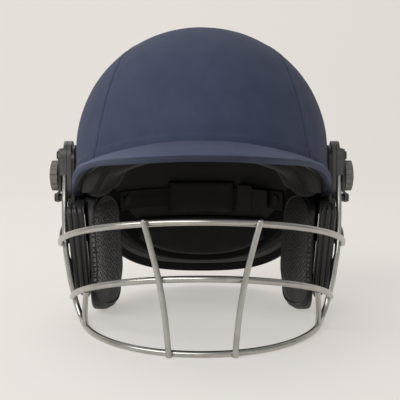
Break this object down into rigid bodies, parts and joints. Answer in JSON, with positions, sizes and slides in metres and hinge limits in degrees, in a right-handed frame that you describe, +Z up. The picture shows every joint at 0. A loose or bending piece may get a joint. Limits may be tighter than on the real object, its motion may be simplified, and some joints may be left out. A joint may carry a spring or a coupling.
{
  "type": "cricket helmet",
  "caption": "Cloth-covered batting helmet with a short peak, a steel wire face grille that tilts on side knobs, ribbed ear guards, ear pads and a padded liner.",
  "frame": {"origin": "on the floor under the middle of the bounding box, with the helmet standing on its chin bar and its ear pads", "axes": "+X to the right as seen from the front, the face opening looks along -Y, +Z up"},
  "size_m": [0.261, 0.2946, 0.246],
  "materials": {
    "shell": "satin",
    "cloth": "matte",
    "binding": "matte",
    "core": "matte",
    "foam": "matte",
    "padding": "matte",
    "leatherette": "satin",
    "guard": "semi-gloss",
    "hook_loop": "matte",
    "wire": "satin",
    "steel": "satin",
    "plate": "matte",
    "knob": "matte",
    "screw": "semi-gloss",
    "nylon": "satin",
    "webbing": "matte",
    "buckle": "satin"
  },
  "bodies": {
    "helmet": {"shell": "shell", "liner": "foam", "cover_front_panel": "cloth", "cover_rear_panel": "cloth", "cover_side_left": "cloth", "cover_side_right": "cloth", "rim_binding": "binding", "peak_core": "core", "peak_cover": "cloth", "brow_pad": "padding", "crown_pad": "padding", "rear_pad": "padding", "side_pad_left": "padding", "side_pad_right": "padding", "ear_guard_left": "guard", "ear_guard_right": "guard", "ear_pad_left": "leatherette", "ear_pad_right": "leatherette", "pad_patches_left": "hook_loop", "pad_patches_right": "hook_loop", "pivot_base_left": "plate", "pivot_base_right": "plate", "pivot_nut_left": "steel", "pivot_nut_right": "steel", "chin_strap_left": "webbing", "chin_strap_right": "webbing", "chin_cup": "padding", "buckle_body": "buckle", "buckle_tongue": "buckle", "strap_rivets": "steel"},
    "grille": {"grille_frame": "wire", "top_bar": "wire", "middle_bar": "wire", "upright_left": "wire", "upright_right": "wire", "brace_left": "wire", "brace_right": "wire", "clamp_plate_left": "plate", "clamp_plate_right": "plate", "pivot_strap_left": "plate", "pivot_strap_right": "plate", "clamp_screws_left": "steel", "clamp_screws_right": "steel", "grille_lug_left": "wire", "grille_lug_right": "wire", "lower_screw_left": "screw", "lower_screw_right": "screw", "lower_washer_left": "nylon", "lower_washer_right": "nylon", "lower_nut_left": "steel", "lower_nut_right": "steel"},
    "turn_knob_left": {"knob_left": "knob"},
    "turn_knob_right": {"knob_right": "knob"}
  },
  "joints": [
    {"name": "grille_tilt", "type": "hinge", "parent": "helmet", "child": "grille", "pos_m": [0, 0.01278, 0.12], "axis": [-1, 0, 0], "range_deg": [0, 12]},
    {"name": "knob_turn_left", "type": "hinge", "parent": "helmet", "child": "turn_knob_left", "pos_m": [-0.1265, 0.01278, 0.12], "axis": [-1, 0, 0], "continuous": true},
    {"name": "knob_turn_right", "type": "hinge", "parent": "helmet", "child": "turn_knob_right", "pos_m": [0.1265, 0.01278, 0.12], "axis": [1, 0, 0], "continuous": true}
  ]
}
